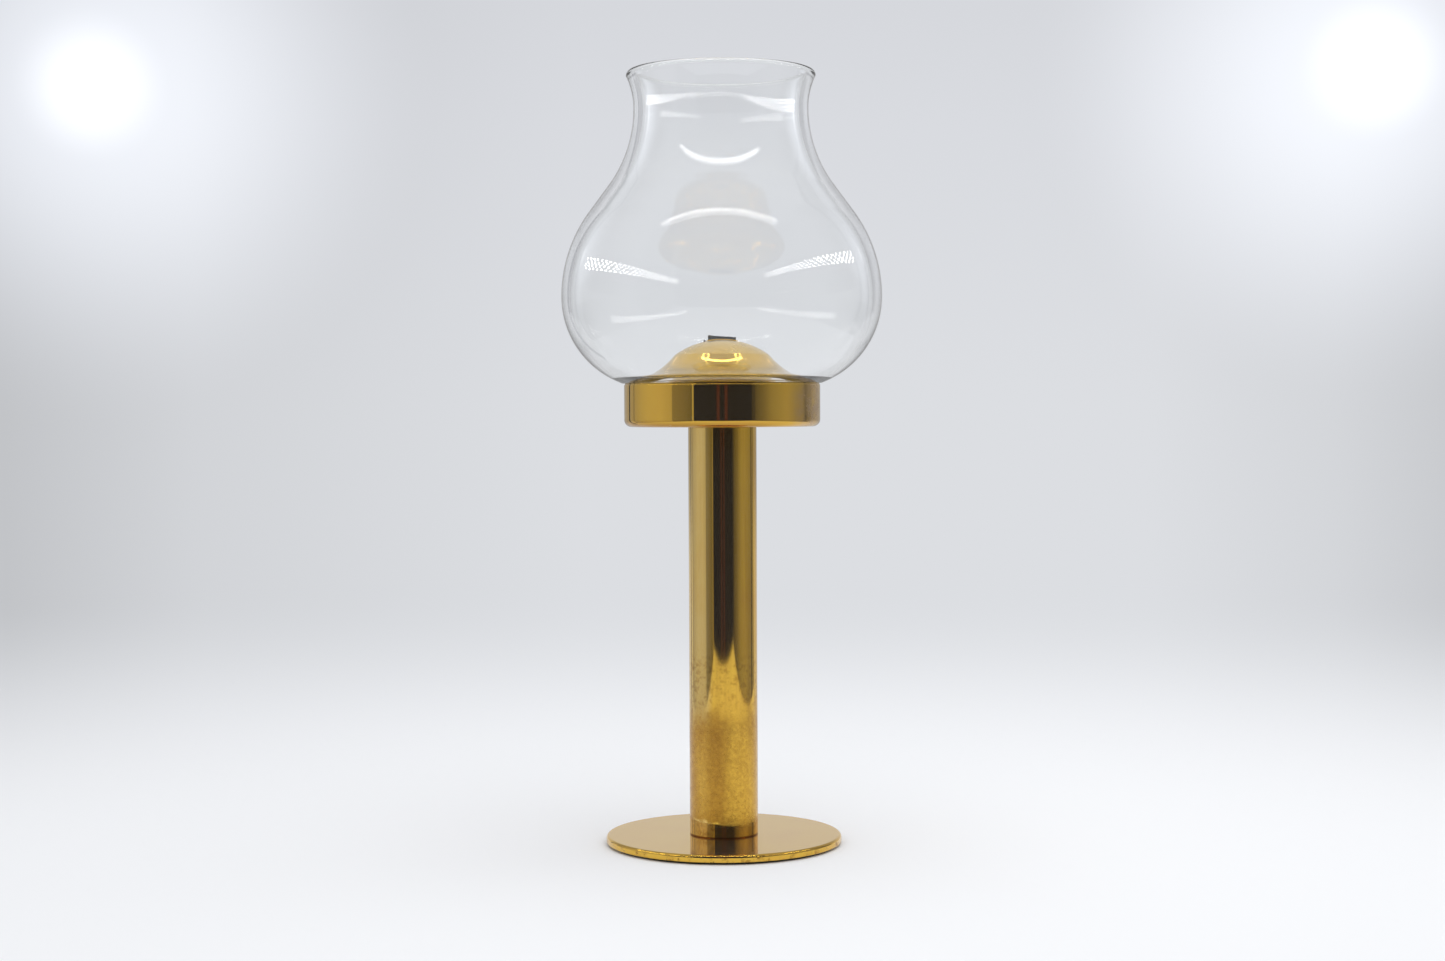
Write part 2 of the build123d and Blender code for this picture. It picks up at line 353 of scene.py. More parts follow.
def stem_brass():
    """Polished, hazed along one side, with a mottled satin patina near its foot and freckles above that.
    The satin band is darker down the middle of its front and back: a painted dark reflection.
    """
    shader = Shader("stem_brass")
    colour, roughness, normal = brass_base(shader, 0.035, 0.45)
    low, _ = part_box("stem_tube")
    patina_foot, patina_top, freckles_top = 5 * MM, 60 * MM, 82 * MM
    streak = shader.ramp(shader.noise(300, 4, 0.6, (1, 1, 0.02)), (0.45, 0.0), (0.7, 1.0))
    colour = shader.mix(shader.math("MULTIPLY", streak, 0.3), colour, BROWN_PATINA_AND_SHADE)

    cloud = shader.ramp(shader.noise(70, 5, 0.65, (1, 1, 0.3)), (0.3, 0.5), (0.6, 1.0))
    haze = shader.math("MULTIPLY", shader.between(shader.axis("X"), -4 * MM, -8 * MM), cloud)
    colour = shader.mix(shader.math("MULTIPLY", haze, 0.7), colour, PALE_BRASS)

    ragged = shader.math("MULTIPLY", shader.math("SUBTRACT", shader.noise(60, 6, 0.7), 0.5), 16 * MM)
    height = shader.math("ADD", shader.axis("Z"), ragged)
    upper = shader.between(height, low.z + patina_top, low.z + patina_top - 16 * MM)
    lower = shader.between(height, low.z + patina_foot, low.z + patina_foot + 3 * MM)
    patina = shader.math("MULTIPLY", upper, lower)
    speckle = shader.ramp(shader.noise(600, 5, 0.7), (0.38, 0.0), (0.62, 1.0))
    band = shader.ramp(shader.noise(45, 3, 0.6, (1, 1, 0.25)), (0.42, 0.0), (0.6, 1.0))
    mottle = shader.mix(shader.mix(0.6, speckle, band), SATIN_DARK_AND_SHADE, SATIN_LIGHT)

    freckled = shader.between(height, low.z + freckles_top, low.z + freckles_top - 10 * MM)
    freckles = shader.ramp(shader.noise(420, 5, 0.7), (0.50, 0.0), (0.62, 1.0))
    freckles = shader.math("MULTIPLY", shader.math("MULTIPLY", freckled, freckles), 0.55)
    colour = shader.mix(freckles, colour, SATIN_DARK_AND_SHADE)
    colour = shader.mix(shader.math("MULTIPLY", patina, 0.9), colour, mottle)

    # Painted dark reflection: a strip down the middle of the satin band's front and back is darkened.
    middle = shader.math("ABSOLUTE", shader.math("ADD", shader.axis("X"), 2.8 * MM))
    middle = shader.math("MULTIPLY", shader.between(middle, 7 * MM, 1 * MM), patina)
    colour = shader.mix(shader.math("MULTIPLY", middle, 0.6), colour, SATIN_DARK_AND_SHADE)
    # Darker over the last millimetre of the tube, where it meets the plate.
    tube_foot_darkening = shader.between(shader.axis("Z"), low.z + 0.9 * MM, low.z + 0.4 * MM)
    colour = shader.mix(tube_foot_darkening, colour, BROWN_PATINA_AND_SHADE)
    rough = shader.ramp(speckle, (0.0, 0.30), (1.0, 0.20))
    roughness = shader.mix(patina, roughness, rough)
    return finish_metal(shader, colour, roughness, normal)


def cup_brass():
    """Polished, with a pinkish tarnish on one side, and painted shade darkening its lower corner, most on
    the left and in the middle.
    """
    shader = Shader("cup_brass")
    colour, roughness, normal = brass_base(shader, 0.018, 0.3)
    low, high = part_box("cup_shell")
    ragged = shader.noise(160, 6, 0.7)
    patch_centre = (high.x * 0.92, low.y * 0.42, (low.z + high.z) / 2)
    patch = shader.near(patch_centre, 4 * MM, 20 * MM)
    patch = shader.math("MULTIPLY", patch, shader.ramp(ragged, (0.35, 0.2), (0.6, 1.0)))
    # Painted shade: the lower corner is darkened, most on the left and in the middle.
    corner = shader.between(shader.axis("Z"), low.z + 3.5 * MM, low.z + 0.5 * MM)
    middle = shader.between(shader.axis("X"), 32 * MM, 8 * MM)
    corner_shade_amount = shader.math("ADD", shader.math("MULTIPLY", middle, 0.45), 0.25)
    corner = shader.math("MULTIPLY", corner, corner_shade_amount)
    colour = shader.mix(corner, colour, BROWN_PATINA_AND_SHADE)
    colour = shader.mix(shader.math("MULTIPLY", patch, 0.8), colour, PINK_TARNISH)
    roughness = shader.mix(patch, roughness, grey(0.38))
    return finish_metal(shader, colour, roughness, normal)


def font_brass():
    """The font's brass, darker round the lid's flange and hazed towards the burner."""
    shader = Shader("font_brass")
    colour, roughness, normal = brass_base(shader, 0.05, 0.3)
    low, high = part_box("font_top")
    haze = shader.between(shader.axis("Z"), low.z + 5 * MM, high.z)
    cloud = shader.ramp(shader.noise(90, 6, 0.7), (0.3, 0.3), (0.7, 1.0))
    haze = shader.math("MULTIPLY", haze, cloud)
    # Darker below the lid's shoulder and round its flange.
    lower_lid_darkening = shader.between(shader.axis("Z"), low.z + 12 * MM, low.z + 6 * MM)
    colour = shader.mix(shader.math("MULTIPLY", lower_lid_darkening, 0.7), colour, DARKER_BRASS)
    colour = shader.mix(shader.math("MULTIPLY", haze, 0.35), colour, PALE_BRASS)
    roughness = shader.mix(haze, roughness, grey(0.07))
    return finish_metal(shader, colour, roughness, normal)


def cap_brass():
    """The cap, hazed by heat, with soot round the slot."""
    shader = Shader("cap_brass")
    colour, roughness, normal = brass_base(shader, 0.10, 0.3)
    _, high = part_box("burner_cap")
    cloud = shader.ramp(shader.noise(120, 6, 0.7), (0.3, 0.4), (0.7, 1.0))
    colour = shader.mix(shader.math("MULTIPLY", cloud, 0.6), colour, PALE_BRASS)
    soot = shader.near((0, 0, high.z), 4 * MM, 10 * MM)
    smoke = shader.ramp(shader.noise(500, 5, 0.7), (0.4, 0.0), (0.7, 1.0))
    soot = shader.math("MULTIPLY", soot, smoke)
    colour = shader.mix(shader.math("MULTIPLY", soot, 0.5), colour, BROWN_PATINA_AND_SHADE)
    roughness = shader.mix(cloud, roughness, grey(0.30))
    return finish_metal(shader, colour, roughness, normal)


def turned_brass():
    """Inner brass pieces as they left the lathe, with fine tool rings."""
    shader = Shader("turned_brass")
    colour, roughness, normal = brass_base(shader, 0.18, 0.2)
    rings = shader.noise(2500, 2, 0.5, (0.01, 0.01, 1.0))
    normal = shader.bump(rings, 0.02 * MM, 0.6, normal)
    return finish_metal(shader, colour, roughness, normal)


def plated_steel():
    """Zinc plated screws and washer."""
    shader = Shader("steel")
    cloud = shader.noise(400, 4, 0.6)
    colour = shader.ramp(cloud, (0.3, srgb(168, 168, 172)), (0.7, srgb(205, 206, 208)))
    roughness = shader.ramp(shader.noise(900, 3, 0.6), (0.3, 0.25), (0.7, 0.42))
    brushing = shader.noise(3000, 2, 0.5, (0.05, 0.05, 1))
    normal = shader.bump(brushing, 0.01 * MM, 0.5)
    return finish_metal(shader, colour, roughness, normal)


def felt():
    """Dense dark green-black felt."""
    shader = Shader("felt")
    fibre = shader.noise(1800, 6, 0.75, distortion=1.5)
    colour = shader.ramp(fibre, (0.3, srgb(22, 25, 22)), (0.7, srgb(52, 57, 50)))
    shader.put(shader.bsdf.inputs["Base Color"], colour)
    shader.bsdf.inputs["Roughness"].default_value = 0.95
    shader.bsdf.inputs["Sheen Weight"].default_value = 0.4
    shader.bsdf.inputs["Specular IOR Level"].default_value = 0.15
    shader.put(shader.bsdf.inputs["Normal"], shader.bump(fibre, 0.3 * MM, 0.8))
    return shader.material


def wick_cotton():
    """Undyed cotton, stained by oil, and burnt black at the tip."""
    shader = Shader("wick_cotton")
    _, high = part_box("wick")
    ragged = shader.math("MULTIPLY", shader.math("SUBTRACT", shader.noise(700, 4, 0.6), 0.5), 2 * MM)
    height = shader.math("ADD", shader.axis("Z"), ragged)
    burnt = shader.between(height, high.z - 4.5 * MM, high.z - 2.2 * MM)
    thread = shader.noise(1500, 5, 0.7)
    cotton = shader.ramp(thread, (0.3, srgb(176, 158, 122)), (0.7, srgb(222, 210, 180)))
    char = shader.ramp(thread, (0.3, srgb(14, 15, 18)), (0.75, srgb(58, 60, 68)))
    shader.put(shader.bsdf.inputs["Base Color"], shader.mix(burnt, cotton, char))
    shader.bsdf.inputs["Roughness"].default_value = 0.85
    shader.bsdf.inputs["Specular IOR Level"].default_value = 0.3
    shader.put(shader.bsdf.inputs["Normal"], shader.bump(thread, 0.15 * MM, 0.8))
    return shader.material


def clear_glass():
    """Clear blown glass with a slow unevenness, as blown walls have."""
    shader = Shader("clear_glass")
    shader.bsdf.inputs["Base Color"].default_value = (0.988, 0.993, 0.991, 1)
    shader.bsdf.inputs["Transmission Weight"].default_value = 1.0
    shader.bsdf.inputs["Roughness"].default_value = 0.0
    shader.bsdf.inputs["IOR"].default_value = 1.5
    slow = shader.noise(18, 1, 0.3)
    shader.put(shader.bsdf.inputs["Normal"], shader.bump(slow, 0.04 * MM, 0.1))
    return shader.material


# ---------------------------------------------------------------- pieces


def thickened(outline, sheet):
    """A closed outline from an open face line, with the sheet to the line's left."""
    inner = []
    for i, point in enumerate(outline):
        before = Vector(outline[max(i - 1, 0)])
        after = Vector(outline[min(i + 1, len(outline) - 1)])
        along = (after - before).normalized()
        inner.append((point[0] - along.y * sheet, point[1] + along.x * sheet))
    return list(outline) + inner[::-1]


def make_base_plate(material):
    """A turned disc with a countersunk hole below."""
    low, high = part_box("base_plate")
    countersink, hole = 5.0 * MM, 2.7 * MM
    bottom_edge, top_edge = 0.3 * MM, 1.2 * MM
    corners = [(countersink, low.z), (high.x, low.z), (high.x, high.z), (hole, high.z)]
    outline = rounded(corners, [bottom_edge, top_edge], 10)
    outline += [(hole, low.z + 2.5 * MM), (countersink, low.z + 0.2 * MM)]
    piece = lathe("base_plate_turned", outline, segments=720)
    return place(piece, "stand", "base_brass", material, "base_plate")


def make_stem(material):
    """A plain tube, whose outline starts and ends half way up its bore."""
    low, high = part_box("stem_tube")
    wall, edge = 1.0 * MM, 0.2 * MM
    corners = [
        (high.x - wall, (low.z + high.z) / 2),
        (high.x - wall, low.z),
        (high.x, low.z),
        (high.x, high.z),
        (high.x - wall, high.z),
        (high.x - wall, (low.z + high.z) / 2),
    ]
    piece = lathe("stem_tube_drawn", rounded(corners, [edge] * 4, 4)[:-1])
    return place(piece, "stand", "stem_brass", material, "stem_tube")


def make_cup(material):
    """A spun cup with a screw hole in its floor."""
    low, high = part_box("cup_shell")
    sheet, hole, corner, lip = 1.0 * MM, 2.7 * MM, 3.0 * MM, 0.25 * MM
    corners = [
        (hole, low.z),
        (high.x, low.z),
        (high.x, high.z),
        (high.x - sheet, high.z),
        (high.x - sheet, low.z + sheet),
        (hole, low.z + sheet),
    ]
    roundings = [corner, lip, lip, corner - sheet]
    piece = lathe("cup_spun", rounded(corners, roundings, 12))
    return place(piece, "stand", "cup_brass", material, "cup_shell")


def make_font_top(material):
    """The pressed lid: a flange, a low shoulder inside the glass, and a flare up to the burner."""
    low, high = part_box("font_top")
    sheet = 0.6 * MM
    flange = low.z + sheet
    shoulder_radius, shoulder_rise = 33.4 * MM, 4.8 * MM
    flare_foot_radius, flare_foot_rise = 25.7 * MM, 7.6 * MM
    throat_radius, hole_radius = 19.9 * MM, 18.8 * MM
    corners = [
        (high.x, flange),
        (shoulder_radius, flange),
        (shoulder_radius, flange + shoulder_rise),
        (flare_foot_radius, flange + flare_foot_rise),
        (throat_radius, high.z),
        (hole_radius, high.z),
    ]
    roundings = [0.3 * MM, 1.0 * MM, 28 * MM, 0.35 * MM]
    outline = thickened(rounded(corners, roundings, 14), sheet)
    piece = lathe("font_lid_pressed", outline, sharp=50)
    return place(piece, "font", "font_brass", material, "font_top")


def shade_outline():
    """The glass in section: tangent arcs outside and inside, with rounded edges."""
    low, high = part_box("shade_glass")
    foot_z = low.z + FOOT_GAP
    wall, bore, foot_sheet, edge = 3.8 * MM, 34.6 * MM, 3.4 * MM, 0.25 * MM
    belly = (high.x, low.z + 36.4 * MM)
    neck = (36.9 * MM, low.z + 116.0 * MM)
    lower, lower_inside, curl = 38.7 * MM, 37.8 * MM, 6.0 * MM
    upper, throat, flare = 60.0 * MM, 55.0 * MM, 31.0 * MM
    upper_centre = (belly[0] - upper, belly[1])
    throat_centre = (neck[0] + throat, neck[1])
    flare_centre = (neck[0] + flare, neck[1])
    across, up = throat_centre[0] - upper_centre[0], throat_centre[1] - upper_centre[1]
    lean = math.degrees(math.asin((upper + throat) / math.hypot(across, up)) - math.atan2(across, up))
    rim_z = high.z - wall / 2
    steps = 40

    def side(inset, radius, foot_angle):
        rise = math.degrees(math.asin((rim_z - flare_centre[1]) / (flare + inset)))
        points = arc((belly[0] - inset - radius, belly[1]), radius, -foot_angle, 0, steps)
        points += arc(upper_centre, upper - inset, 0, lean, steps)[1:]
        points += arc(throat_centre, throat + inset, 180 + lean, 180, steps)
        points += arc(flare_centre, flare + inset, 180, 180 - rise, steps // 2)[1:]
        return held(points, 1.0 * MM)

    # The outer face stops a little above the foot, where a small arc turns it under.
    outer = side(0, lower, math.degrees(math.asin((belly[1] - foot_z - edge) / lower)))
    reach = lower_inside - curl
    curl_z = foot_z + foot_sheet + curl
    curl_angle = math.asin((belly[1] - curl_z) / reach)
    inner = side(wall, lower_inside, math.degrees(curl_angle))
    curl_centre = (belly[0] - wall - lower_inside + reach * math.cos(curl_angle), curl_z)
    curl_points = arc(curl_centre, curl, -math.degrees(curl_angle), -90, 10)[1:]

    lip_radius = (outer[-1][0] - inner[-1][0]) / 2
    lip = arc((outer[-1][0] - lip_radius, rim_z), lip_radius, 0, 180, 12)[1:-1]
    foot_corners = [
        curl_points[-1],
        (bore, foot_z + foot_sheet),
        (bore, foot_z),
        (outer[0][0] - 2 * edge, foot_z),
        outer[0],
    ]
    foot = rounded(foot_corners, [edge] * 3, 5)
    return outer + lip + inner[::-1] + curl_points[:-1] + foot[:-1]


def make_shade(material):
    piece = lathe("shade_blown", shade_outline(), segments=320, sharp=80)
    return place(piece, "shade", "clear_glass", material, "shade_glass")


def strip_point(s, half_width, half_thick):
    """The point at length s round a flat strip with round edges, and the way it faces."""
    straight = 2 * (half_width - half_thick)
    half_way = straight + math.pi * half_thick
    side = 1
    if s >= half_way:
        side = -1
        s -= half_way
    if s < straight:
        facing = Vector((0, -1))
        point = Vector((s - straight / 2, -half_thick))
    else:
        angle = (s - straight) / half_thick - math.pi / 2
        facing = Vector((math.cos(angle), math.sin(angle)))
        point = Vector((straight / 2, 0)) + facing * half_thick
    return point * side, facing * side


def weave_depth(s, z):
    """How far the wick's surface sinks between its ribs and their stitches."""
    rib, stitch, deepest = 0.75 * MM, 1.1 * MM, 0.16 * MM
    ribbing = abs(math.sin(math.pi * s / rib))
    twist = 0.5 + 0.5 * math.sin(2 * math.pi * z / stitch + 2 * math.floor(s / rib))
    return deepest * (1 - ribbing * (0.55 + 0.45 * twist))


def close_tip(bm):
    """Closes the wick's open top with a narrower, rough crest."""
    narrower, thinner = 0.93, 0.45
    top = bmesh.ops.extrude_edge_only(bm, edges=[e for e in bm.edges if e.is_boundary])
    for vertex in top["geom"]:
        if isinstance(vertex, bmesh.types.BMVert):
            vertex.co.x *= narrower
            vertex.co.y *= thinner
            vertex.co.z += (0.12 + 0.25 * noise.noise(vertex.co * 1500)) * MM
    bmesh.ops.contextual_create(bm, geom=[e for e in bm.edges if e.is_boundary])


def make_wick(material):
    """A flat woven strip. Its ribs and their stitches are in the mesh, and its tip is ragged."""
    low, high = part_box("wick")
    half_width, half_thick = high.x, high.y
    length_round = 4 * (half_width - half_thick) + 2 * math.pi * half_thick
    slant, fray, fray_start = 0.8 * MM, 0.35 * MM, 0.94
    around, rows = 160, 180
    bm = bmesh.new()
    rings = []
    for row in range(rows + 1):
        share = row / rows
        loose = max(0, share - fray_start) / (1 - fray_start)
        drop = fray if row == rows else 0
        ring = []
        for i in range(around):
            s = length_round * i / around
            point, facing = strip_point(s, half_width, half_thick)
            tip = high.z - slant * (point.x + half_width) / (2 * half_width)
            z = low.z + share * (tip - low.z)
            ragged = noise.noise(Vector((point.x * 900, point.y * 900, 0))) * fray * loose
            x, y = point - facing * weave_depth(s, z)
            ring.append(bm.verts.new((x, y, z + ragged - drop)))
        rings.append(ring)
    for a, b in zip(rings, rings[1:]):
        for i in range(around):
            j = (i + 1) % around
            bm.faces.new((a[i], a[j], b[j], b[i]))
    bm.faces.new(rings[0][::-1])
    close_tip(bm)
    bmesh.ops.recalc_face_normals(bm, faces=bm.faces)
    piece = finished("wick_woven", bm, sharp=60)
    return place(piece, "wick", "wick_cotton", material, "wick")


def make_felt(material):
    """A felt disc with a soft, uneven edge."""
    low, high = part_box("base_felt")
    corners = [(0, low.z), (high.x, low.z), (high.x, high.z), (0, high.z)]
    outline = rounded(corners, [0.35 * MM, 0.2 * MM], 5)
    piece = lathe("felt_pad", outline, segments=480, closed=False)
    unevenness, rim = 0.25 * MM, 1 * MM
    for vertex in piece.data.vertices:
        radius = math.hypot(vertex.co.x, vertex.co.y)
        if radius > high.x - rim:
            pull = 1 - unevenness * (0.5 + 0.5 * noise.noise(vertex.co * 600)) / radius
            vertex.co.x *= pull
            vertex.co.y *= pull
    return place(piece, "stand", "felt", material, "base_felt")


def make_crumb(material):
    """A charred crumb of wick, stuck to the cap beside the slot."""
    _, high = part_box("burner_cap")
    centre = Vector((-7.3 * MM, 0, high.z - 0.45 * MM))
    bm = bmesh.new()
    bmesh.ops.create_icosphere(bm, subdivisions=3, radius=0.42 * MM)
    for vertex in bm.verts:
        vertex.co *= 1 + 0.35 * noise.noise(vertex.co * 3000)
        vertex.co += centre
    piece = finished("wick_crumb", bm, sharp=60)
    return place(piece, "burner", "wick_cotton", material)


def paint_nodes():
    """Better materials for the CAD nodes that show as they are."""
    finishes = {
        "base_screw": STEEL,
        "cup_screw": STEEL,
        "cup_washer": STEEL,
        "stem_foot_plug": TURNED,
        "stem_head_plug": TURNED,
        "font_neck_ring": TURNED,
        "burner_sleeve": TURNED,
        "wick_tube": TURNED,
        "font_bowl": FONT,
        "burner_cap": cap_brass(),
    }
    for name, material in finishes.items():
        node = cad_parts[name]
        node.data.materials.clear()
        node.data.materials.append(material)


STEEL = plated_steel()
TURNED = turned_brass()
FONT = font_brass()
COTTON = wick_cotton()

paint_nodes()
make_base_plate(base_brass())
make_stem(stem_brass())
make_cup(cup_brass())
make_font_top(FONT)
make_shade(clear_glass())
make_wick(COTTON)
make_felt(felt())
make_crumb(COTTON)


# ---------------------------------------------------------------- studio

HORIZON = srgb(220, 222, 226)
HALO_COLOUR = (0.33, 0.345, 0.375, 1)


def stage_piece(name, mesh, material):
    """Adds a mesh to the studio, apart from the model."""
    made = bpy.data.objects.new(name, mesh)
    made.data.materials.append(material)
    bpy.context.scene.collection.objects.link(made)
    return made


def hide_from_camera(made):
    """Hides a studio piece from the camera, and keeps it from lighting or shading the scene."""
    made.visible_camera = False
    made.visible_diffuse = False
    made.visible_shadow = False


def panel(name, corners, material):
    """A flat four-cornered panel of the tent, seen only in reflections and not through the glass."""
    mesh = bpy.data.meshes.new(name)
    mesh.from_pydata(corners, [], [(0, 1, 2, 3)])
    made = stage_piece(name, mesh, material)
    hide_from_camera(made)
    made.visible_transmission = False


def upright(start, end):
    """The corners of a wall as high as the tent, which stands between two (x, y) points."""
    (x1, y1), (x2, y2) = start, end
    return [(x1, y1, 0), (x2, y2, 0), (x2, y2, TENT_TOP), (x1, y1, TENT_TOP)]


def glow(name):
    """A bare emission material. Returns its shader and its emission node."""
    shader = Shader(name)
    shader.tree.nodes.remove(shader.bsdf)
    emission = shader.node("ShaderNodeEmission")
    output = shader.tree.nodes["Material Output"]
    shader.put(output.inputs["Surface"], emission.outputs["Emission"])
    return shader, emission


def tent_wall(name, x, back, *stops):
    """A lit side of the tent, with its brightness from front to back as (y, brightness) stops."""
    shader, emission = glow(name)
    length = back - TENT_FRONT
    share = shader.math("DIVIDE", shader.math("SUBTRACT", shader.axis("Y"), TENT_FRONT), length)
    ramp = [((y - TENT_FRONT) / length, brightness) for y, brightness in stops]
    shader.put(emission.inputs["Color"], shader.ramp(share, *ramp))
    panel(name, upright((x, TENT_FRONT), (x, back)), shader.material)


def tent_front():
    """The dark room beyond the tent's open front, with a reddish stripe on each side of the middle."""
    shader, emission = glow("tent_front")
    dark, reddish = (0.018, 0.017, 0.017, 1), (0.085, 0.032, 0.022, 1)
    stops = ((0.25, dark), (0.38, reddish), (0.6, reddish), (0.75, dark))
    aside = shader.math("ABSOLUTE", shader.axis("X"))
    colour = shader.ramp(shader.between_linear(aside, 0.0, 0.11), *stops)
    shader.put(emission.inputs["Color"], colour)
    panel("tent_front", upright((TENT_LEFT, TENT_FRONT), (TENT_RIGHT, TENT_FRONT)), shader.material)


def tent_back():
    """The tent's back, brighter along its foot."""
    shader, emission = glow("tent_back")
    share = shader.between(shader.axis("Z"), 0.08, 0.16)
    shader.put(emission.inputs["Color"], shader.ramp(share, (0.0, 0.70), (1.0, 0.42)))
    corners = upright((TENT_LEFT, TENT_BACK_LEFT), (TENT_RIGHT, TENT_BACK_RIGHT))
    panel("tent_back", corners, shader.material)


def tent_top():
    """The tent's ceiling, dimmer towards the front."""
    shader, emission = glow("tent_top")
    share = shader.between(shader.axis("Y"), TENT_FRONT, TENT_BACK_LEFT)
    shader.put(emission.inputs["Color"], shader.ramp(share, (0.0, 0.22), (0.5, 0.5), (1.0, 0.6)))
    corners = [
        (TENT_LEFT, TENT_FRONT, TENT_TOP),
        (TENT_RIGHT, TENT_FRONT, TENT_TOP),
        (TENT_RIGHT, TENT_BACK_RIGHT, TENT_TOP),
        (TENT_LEFT, TENT_BACK_LEFT, TENT_TOP),
    ]
    panel("tent_top", corners, shader.material)


def tent_seam(name, x, back):
    """A dark upright seam just ahead of the tent's back."""
    shader, emission = glow(name)
    emission.inputs["Color"].default_value = grey(0.005)
    half, ahead = 0.014, 0.004
    corners = upright((x - half, back - ahead), (x + half, back - ahead))
    panel(name, corners, shader.material)


def led_bar(name, start, end, across, columns=26, pitch=0.012, dot=(0.011, 0.0065), strength=20):
    """Four rows of small bright patches from start to end, a pitch apart in the across direction."""
    shader, emission = glow(name)
    emission.inputs["Strength"].default_value = strength
    start, end, across = Vector(start), Vector(end), Vector(across).normalized()
    along = (end - start).normalized()
    rows = 4
    bm = bmesh.new()
    for row in range(rows):
        shift = across * (row - (rows - 1) / 2) * pitch
        for column in range(columns):
            centre = start.lerp(end, (column + 0.5 * (row % 2)) / columns) + shift
            corners = []
            for u, v in ((-0.5, -0.5), (0.5, -0.5), (0.5, 0.5), (-0.5, 0.5)):
                corners.append(bm.verts.new(centre + along * u * dot[0] + across * v * dot[1]))
            bm.faces.new(corners)
    hide_from_camera(stage_piece(name, mesh_of(name, bm), shader.material))


def vignette(shader, bearing):
    """How bright the backdrop is from left to right, by the bearing from a fixed place in front."""
    stops = (
        (-0.80, 0.78),
        (-0.62, 0.78),
        (-0.55, 1.04),
        (-0.37, 1.04),
        (-0.315, 0.75),
        (-0.229, 0.90),
        (-0.062, 1.0),
        (0.186, 1.0),
        (0.267, 0.92),
        (0.315, 0.82),
        (0.37, 1.04),
        (0.55, 1.04),
        (0.62, 0.78),
        (0.80, 0.78),
    )
    reach = VIGNETTE_REACH
    share = shader.between_linear(bearing, -reach, reach)
    return shader.ramp(share, *[((where + reach) / (2 * reach), bright) for where, bright in stops])


def studio_floor():
    """A pale matt floor near the lamp, which further out runs into painted light: it glows in the colour of
    the horizon, with the vignette's painted shade.
    """
    shader = Shader("studio_floor")
    x, y = shader.axis("X"), shader.axis("Y")
    squares = shader.math("ADD", shader.math("POWER", x, 2), shader.math("POWER", y, 2))
    away = shader.math("SQRT", squares)
    shader.bsdf.inputs["Base Color"].default_value = grey(0.92)
    shader.bsdf.inputs["Roughness"].default_value = 0.6
    shader.bsdf.inputs["Specular IOR Level"].default_value = 0.0
    bearing = shader.math("DIVIDE", x, shader.math("ADD", y, CAMERA_DISTANCE))
    ahead = shader.between(y, -0.2, 0.4)
    shade = shader.mix(ahead, grey(1), vignette(shader, bearing))
    colour = shader.mix(1.0, HORIZON, shade, "MULTIPLY")
    # Painted light: away from the lamp the floor glows in the horizon's colour instead of being lit.
    emission = shader.node("ShaderNodeEmission", {"Color": colour}).outputs["Emission"]
    blend = shader.between(away, 0.0, FLOOR_MELTS_AT)
    mixed = shader.node("ShaderNodeMixShader", {0: blend, 1: shader.bsdf.outputs["BSDF"], 2: emission})
    shader.put(shader.tree.nodes["Material Output"].inputs["Surface"], mixed.outputs["Shader"])
    bm = bmesh.new()
    bmesh.ops.create_circle(bm, cap_ends=True, segments=96, radius=FLOOR_RADIUS)
    stage_piece("studio_floor", mesh_of("studio_floor", bm), shader.material)


def studio_world():
    """A pale backdrop with two soft lamps high up behind the oil lamp."""
    world = bpy.data.worlds.new("studio_world")
    bpy.context.scene.world = world
    world.use_nodes = True
    shader = Shader("world", world.node_tree)
    direction = shader.node("ShaderNodeTexCoord").outputs["Generated"]
    parts = shader.node("ShaderNodeSeparateXYZ", {"Vector": direction}).outputs
    colour = shader.ramp(
        parts["Z"],
        (0.0, HORIZON),
        (0.12, srgb(217, 219, 224)),
        (0.17, srgb(214, 216, 221)),
        (0.6, srgb(228, 230, 234)),
    )
    bearing = shader.math("DIVIDE", parts["X"], parts["Y"])
    ahead = shader.between(parts["Y"], 0.6, 0.8)
    shade = shader.mix(ahead, grey(1), vignette(shader, bearing))
    colour = shader.mix(1.0, colour, shade, "MULTIPLY")
    for aim in LAMP_AIMS:
        ends = {0: direction, 1: tuple(Vector(aim).normalized())}
        away = shader.node("ShaderNodeVectorMath", ends, operation="DISTANCE").outputs["Value"]
        halo = shader.between(away, LAMP_HALO, 0.0)
        core = shader.between(away, LAMP_CORE, 0.0)
        colour = shader.mix(halo, colour, HALO_COLOUR, "ADD")
        colour = shader.mix(core, colour, grey(0.25), "ADD")
    shader.put(world.node_tree.nodes["Background"].inputs["Color"], colour)


def ceiling_light():
    """The soft light overhead, which lights the floor and shows in no reflection."""
    light = bpy.data.lights.new("ceiling", "AREA")
    light.shape = "RECTANGLE"
    light.size = 1.0
    light.size_y = 1.2
    light.energy = 4.4
    made = bpy.data.objects.new("ceiling", light)
    made.location = (0.22, -0.15, 1.0)
    made.visible_camera = False
    made.visible_glossy = False
    made.visible_transmission = False
    bpy.context.scene.collection.objects.link(made)


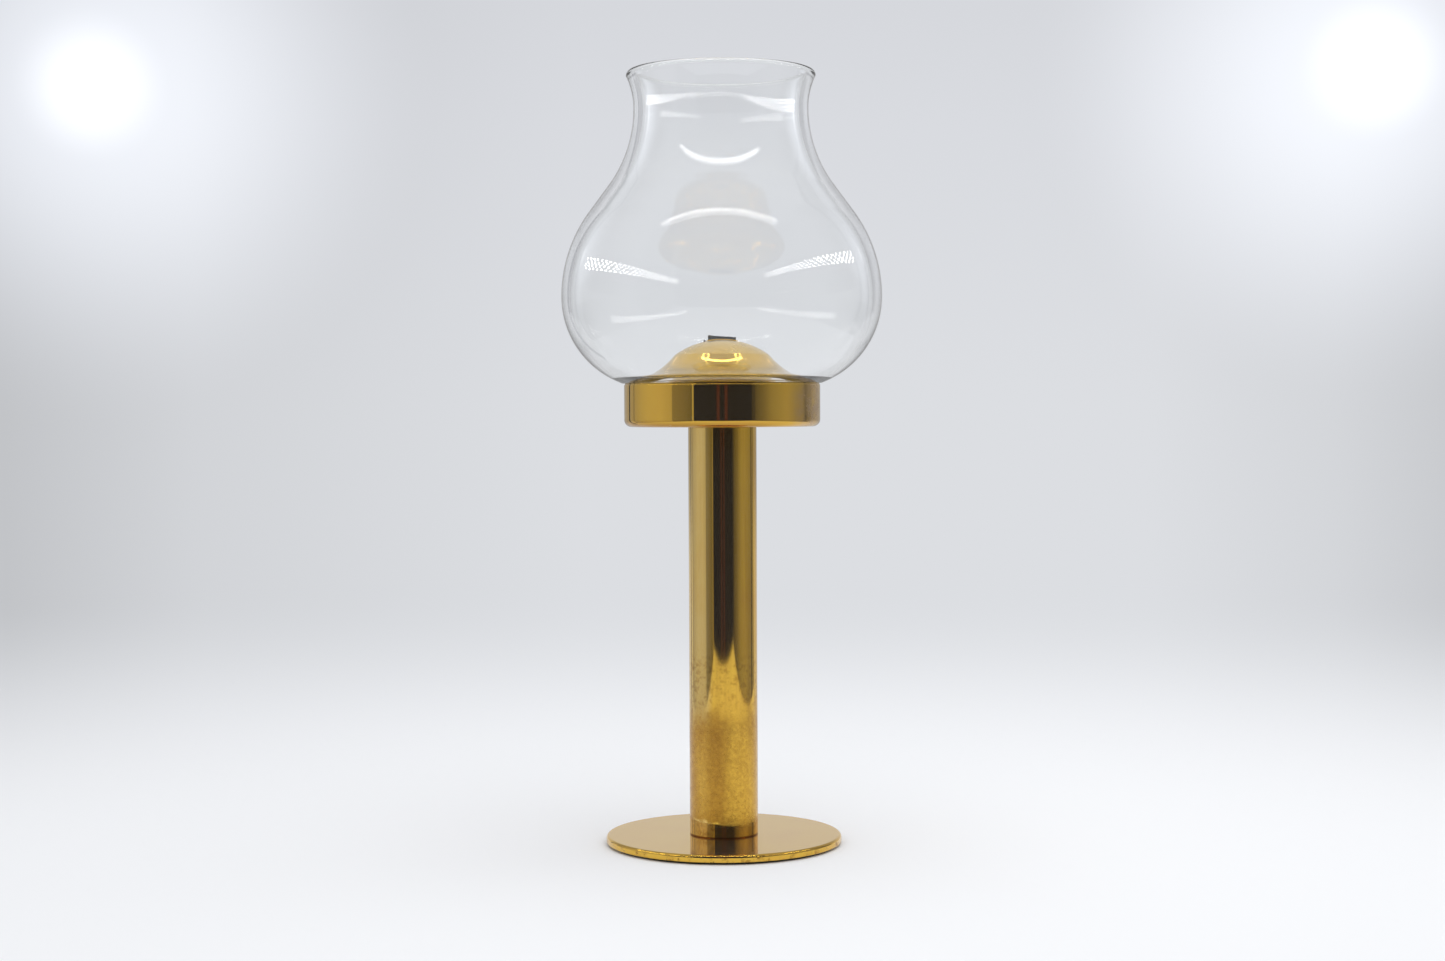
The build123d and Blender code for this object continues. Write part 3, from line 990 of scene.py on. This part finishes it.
def camera():
    """The camera, level with the cup, tilted and rolled a little."""
    data = bpy.data.cameras.new("camera")
    data.lens = CAMERA_LENS
    data.sensor_width = SENSOR_WIDTH
    made = bpy.data.objects.new("camera", data)
    made.location = (0, -CAMERA_DISTANCE, CAMERA_HEIGHT)
    made.rotation_mode = "XYZ"
    tilt = Matrix.Rotation(math.pi / 2 + CAMERA_PITCH, 4, "X")
    roll = Matrix.Rotation(-CAMERA_ROLL, 4, "Z")
    made.rotation_euler = (tilt @ roll).to_euler()
    bpy.context.scene.collection.objects.link(made)
    bpy.context.scene.camera = made


def light_tent():
    """The walls of the tent with their seams. Each wall's brightness changes from front to back."""
    tent_wall(
        "tent_left",
        TENT_LEFT,
        TENT_BACK_LEFT,
        (-0.645, 0.02),
        (-0.64, 0.55),
        (-0.61, 0.55),
        (-0.60, 0.16),
        (-0.26, 0.27),
        (-0.25, 0.52),
        (-0.12, 0.62),
        (0.02, 0.60),
        (0.25, 0.42),
    )
    tent_wall(
        "tent_right",
        TENT_RIGHT,
        TENT_BACK_RIGHT,
        (-0.62, 0.06),
        (-0.61, 0.11),
        (-0.42, 0.20),
        (-0.30, 0.32),
        (-0.10, 0.42),
        (0.05, 0.33),
        (0.155, 0.31),
        (0.165, 0.01),
        (0.19, 0.01),
        (0.20, 0.29),
        (0.31, 0.28),
    )
    tent_front()
    tent_back()
    tent_top()
    tent_seam("tent_seam", -0.262, TENT_BACK_LEFT)
    tent_seam("tent_corner_left", TENT_LEFT, TENT_BACK_LEFT)
    tent_seam("tent_corner_right", TENT_RIGHT, TENT_BACK_RIGHT)


def led_bars():
    """The rows of small lamps: one along each side, one overhead, and one high up at the back."""
    upward, backward = (0, 0, 1), (0, 1, 0)
    led_bar("led_left", (-0.397, -0.69, 0.350), (-0.397, 0.165, 0.350), upward)
    led_bar("led_right", (0.40, -0.70, 0.412), (0.40, 0.145, 0.371), upward)
    led_bar(
        "led_top",
        (-0.2, -0.148, 0.5),
        (0.185, -0.148, 0.5),
        backward,
        columns=34,
        pitch=0.0045,
        dot=(0.0055, 0.0026),
        strength=26,
    )
    led_bar("led_rear", (-0.22, 0.11, 0.83), (0.22, 0.11, 0.83), backward, dot=(0.014, 0.010), strength=7)


light_tent()
led_bars()
studio_floor()
studio_world()
ceiling_light()
camera()
bpy.context.scene.view_settings.view_transform = "Standard"
